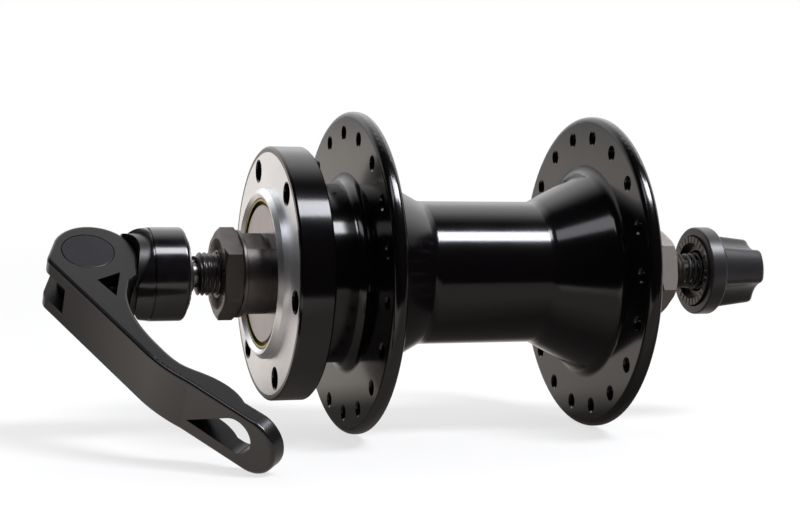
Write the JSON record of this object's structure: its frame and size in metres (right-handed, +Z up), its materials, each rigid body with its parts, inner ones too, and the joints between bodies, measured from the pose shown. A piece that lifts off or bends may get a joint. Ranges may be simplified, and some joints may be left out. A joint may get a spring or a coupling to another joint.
{
  "type": "bicycle front hub",
  "caption": "Bicycle front hub with spoke flanges, a six-bolt brake disc mount, cup and cone ball bearings on a hollow axle, and a quick-release skewer with cam lever and nut.",
  "frame": {"origin": "on the axle's line, midway between the two locknut faces that the dropouts touch", "axes": "+Y along the axle towards the brake disc and the lever, +Z up as the hub lies on its flanges"},
  "size_m": [0.0795, 0.157, 0.0668],
  "materials": {
    "black_anodised": "gloss black anodised and machined",
    "hardened_steel": "dark grey steel, turned",
    "bright_steel": "bright drawn steel",
    "dark_steel": "blackened steel",
    "ground_balls": "polished",
    "zinc_steel": "yellow passivated zinc",
    "cover_steel": "pale matte pressed steel",
    "lever_alloy": "satin charcoal",
    "housing_alloy": "gloss black",
    "saddle_plastic": "matte black",
    "knob_plastic": "satin dark grey",
    "spring_steel": "blackened spring wire"
  },
  "bodies": {
    "axle_set": {"hollow_axle": "hardened_steel", "left_cone": "hardened_steel", "right_cone": "hardened_steel", "left_dust_cover": "cover_steel", "right_dust_cover": "cover_steel", "left_washer": "hardened_steel", "right_washer": "hardened_steel", "left_locknut": "hardened_steel", "right_locknut": "hardened_steel"},
    "shell": {"hub_shell": "black_anodised", "left_bearing_cup": "zinc_steel", "right_bearing_cup": "zinc_steel"},
    "left_ball_row": {"left_balls": "ground_balls"},
    "right_ball_row": {"right_balls": "ground_balls"},
    "left_spring_seat": {"left_spring": "spring_steel"},
    "skewer": {"skewer_rod": "bright_steel", "cam_barrel": "dark_steel"},
    "lever": {"lever": "lever_alloy"},
    "housing": {"lever_housing": "housing_alloy", "cam_saddle": "saddle_plastic", "housing_teeth": "dark_steel"},
    "right_spring_seat": {"right_spring": "spring_steel"},
    "nut": {"nut_knob": "knob_plastic", "nut_insert": "bright_steel"}
  },
  "joints": [
    {"name": "shell_spin", "type": "hinge", "parent": "axle_set", "child": "shell", "pos_m": [0, 0, 0], "axis": [0, 1, 0], "continuous": true},
    {"name": "left_ball_orbit", "type": "hinge", "parent": "axle_set", "child": "left_ball_row", "pos_m": [0, 0, 0], "axis": [0, 1, 0], "continuous": true},
    {"name": "right_ball_orbit", "type": "hinge", "parent": "axle_set", "child": "right_ball_row", "pos_m": [0, 0, 0], "axis": [0, 1, 0], "continuous": true},
    {"name": "skewer_float", "type": "slide", "parent": "axle_set", "child": "left_spring_seat", "axis": [0, 1, 0], "range_m": [-0.002, 0.002], "deforming": ["left_spring", "right_spring"]},
    {"name": "skewer_spin", "type": "hinge", "parent": "left_spring_seat", "child": "skewer", "pos_m": [0, 0, 0], "axis": [0, 1, 0], "continuous": true},
    {"name": "lever_pivot", "type": "hinge", "parent": "skewer", "child": "lever", "pos_m": [0, 0.0767, 0], "axis": [0.5606, 0, -0.8281], "range_deg": [0, 130]},
    {"name": "housing_lift", "type": "slide", "parent": "skewer", "child": "housing", "axis": [0, 1, 0], "range_m": [0, 0.0024], "deforming": ["left_spring"]},
    {"name": "nut_travel", "type": "slide", "parent": "skewer", "child": "right_spring_seat", "axis": [0, 1, 0], "range_m": [-0.0025, 0.0017], "deforming": ["right_spring"]},
    {"name": "nut_turn", "type": "hinge", "parent": "right_spring_seat", "child": "nut", "pos_m": [0, -0.065, 0], "axis": [0, 1, 0], "range_deg": [-1080, 720]}
  ],
  "couplings": [
    {"joint": "left_ball_orbit", "follows": "shell_spin", "ratio": 0.60023},
    {"joint": "right_ball_orbit", "follows": "shell_spin", "ratio": 0.60023},
    {"joint": "housing_lift", "follows": "lever_pivot", "m_per_rad": 0.00098221},
    {"joint": "nut_travel", "follows": "nut_turn", "m_per_rad": 0.00012732}
  ]
}
